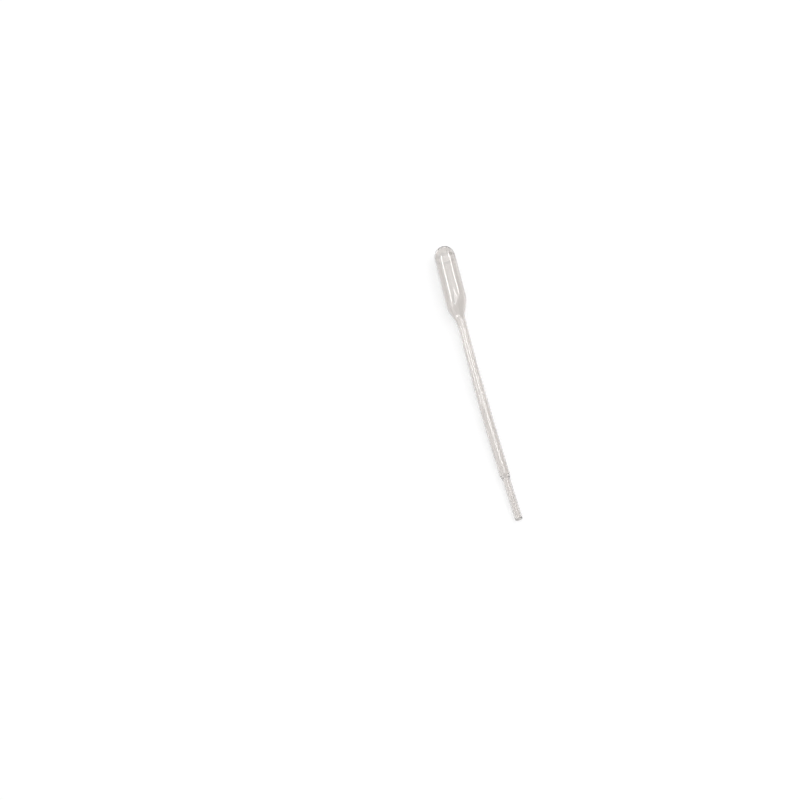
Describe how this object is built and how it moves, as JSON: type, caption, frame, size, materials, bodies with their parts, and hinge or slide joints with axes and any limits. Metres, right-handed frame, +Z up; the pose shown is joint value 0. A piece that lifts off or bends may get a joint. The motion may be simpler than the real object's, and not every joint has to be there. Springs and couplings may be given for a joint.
{
  "type": "plastic dropper pipette",
  "caption": "Soft clear-white plastic dropper: a squeeze bulb that narrows through a shoulder into a slightly bowed hollow stem with a stepped fine tip.",
  "frame": {"origin": "on the surface the pipette lies on, below the middle of its box", "axes": "+Z up from the surface, +Y along the length towards the bulb's dome, the tip points along -Y, the stem's bow lies towards -X"},
  "size_m": [0.0124, 0.155, 0.0121],
  "materials": {
    "pipette": "satin, translucent natural polyethylene"
  },
  "bodies": {
    "root": {"pipette": "pipette"}
  },
  "joints": []
}
